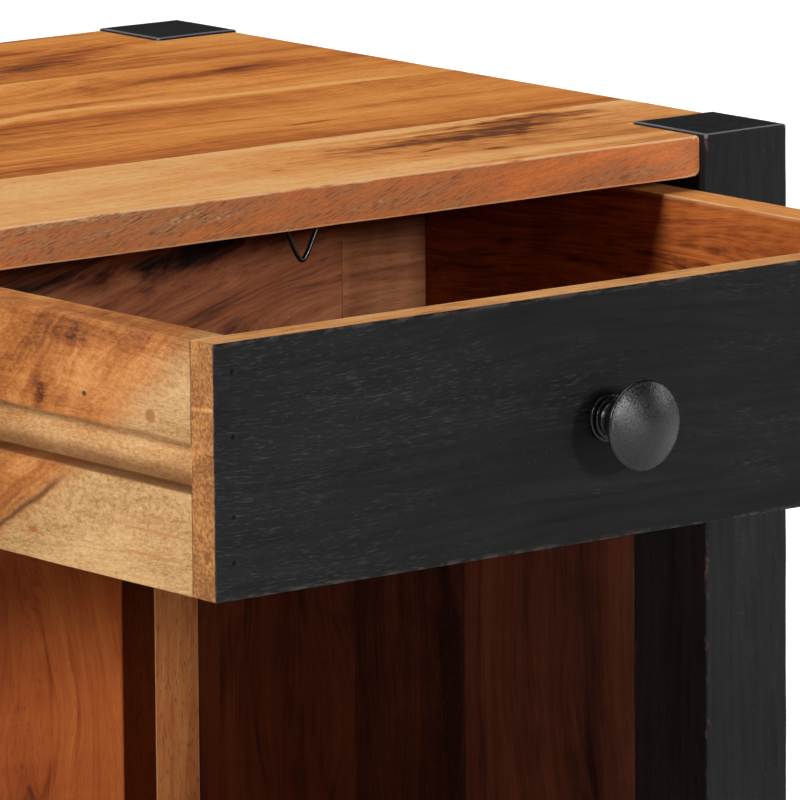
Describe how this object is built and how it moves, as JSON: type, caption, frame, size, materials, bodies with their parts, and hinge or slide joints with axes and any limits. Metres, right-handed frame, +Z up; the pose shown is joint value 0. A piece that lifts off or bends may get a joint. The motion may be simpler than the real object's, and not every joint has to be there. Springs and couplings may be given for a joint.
{
  "type": "side table with drawer",
  "caption": "Solid wood side table on square black-painted through-legs, with a shallow drawer under the top and an open compartment with a shelf below",
  "frame": {"origin": "middle of the whole footprint on the floor, with the drawer standing 152 mm out and its knob included", "axes": "+Z up, +X to the right of someone facing the drawer, +Y towards the back"},
  "size_m": [0.445, 0.577, 0.55],
  "materials": {
    "black_paint": "semi-matt black paint over open grain",
    "black_front": "semi-matt black paint on the face, bare ends and edges",
    "oiled_acacia": "oiled, satin",
    "wall_acacia": "oiled, satin",
    "dark_acacia": "oiled, matt",
    "bare_acacia": "bare, sanded",
    "plywood": "bare, sanded",
    "glide_plastic": "matt",
    "gunmetal": "satin, slightly rough",
    "dark_wire": "dark oxide",
    "zinc_steel": "zinc plated"
  },
  "bodies": {
    "carcase": {"back_board_1": "wall_acacia", "back_board_2": "wall_acacia", "back_board_3": "wall_acacia", "cleat_screw_left_1": "zinc_steel", "cleat_screw_left_2": "zinc_steel", "cleat_screw_right_1": "zinc_steel", "cleat_screw_right_2": "zinc_steel", "corner_batten_left": "bare_acacia", "corner_batten_right": "bare_acacia", "dowel_left_1": "bare_acacia", "dowel_left_2": "bare_acacia", "dowel_right_1": "bare_acacia", "dowel_right_2": "bare_acacia", "glide_back_left": "glide_plastic", "glide_back_right": "glide_plastic", "glide_front_left": "glide_plastic", "glide_front_right": "glide_plastic", "leg_back_left": "black_paint", "leg_back_right": "black_paint", "leg_front_left": "black_paint", "leg_front_right": "black_paint", "runner_left": "bare_acacia", "runner_right": "bare_acacia", "runner_screw_left_1": "zinc_steel", "runner_screw_left_2": "zinc_steel", "runner_screw_right_1": "zinc_steel", "runner_screw_right_2": "zinc_steel", "shelf_board_1": "wall_acacia", "shelf_board_2": "wall_acacia", "shelf_board_3": "wall_acacia", "shelf_cleat_left": "bare_acacia", "shelf_cleat_right": "bare_acacia", "side_board_left_1": "wall_acacia", "side_board_left_2": "wall_acacia", "side_board_left_3": "wall_acacia", "side_board_right_1": "wall_acacia", "side_board_right_2": "wall_acacia", "side_board_right_3": "wall_acacia", "top_board_1": "oiled_acacia", "top_board_2": "oiled_acacia", "top_board_3": "oiled_acacia", "top_board_4": "oiled_acacia", "wire_stop": "dark_wire"},
    "drawer": {"drawer_back_long": "dark_acacia", "drawer_back_short": "dark_acacia", "drawer_bottom": "plywood", "drawer_front": "black_front", "drawer_side_left": "bare_acacia", "drawer_side_right": "bare_acacia", "front_nail_left_1": "zinc_steel", "front_nail_left_2": "zinc_steel", "front_nail_left_3": "zinc_steel", "front_nail_left_4": "zinc_steel", "front_nail_right_1": "zinc_steel", "front_nail_right_2": "zinc_steel", "front_nail_right_3": "zinc_steel", "front_nail_right_4": "zinc_steel", "knob": "gunmetal", "knob_bolt": "zinc_steel", "knob_collar": "gunmetal"}
  },
  "joints": [
    {"name": "drawer_slide", "type": "slide", "parent": "carcase", "child": "drawer", "axis": [0, -1, 0], "range_m": [-0.152, 0.125]}
  ]
}
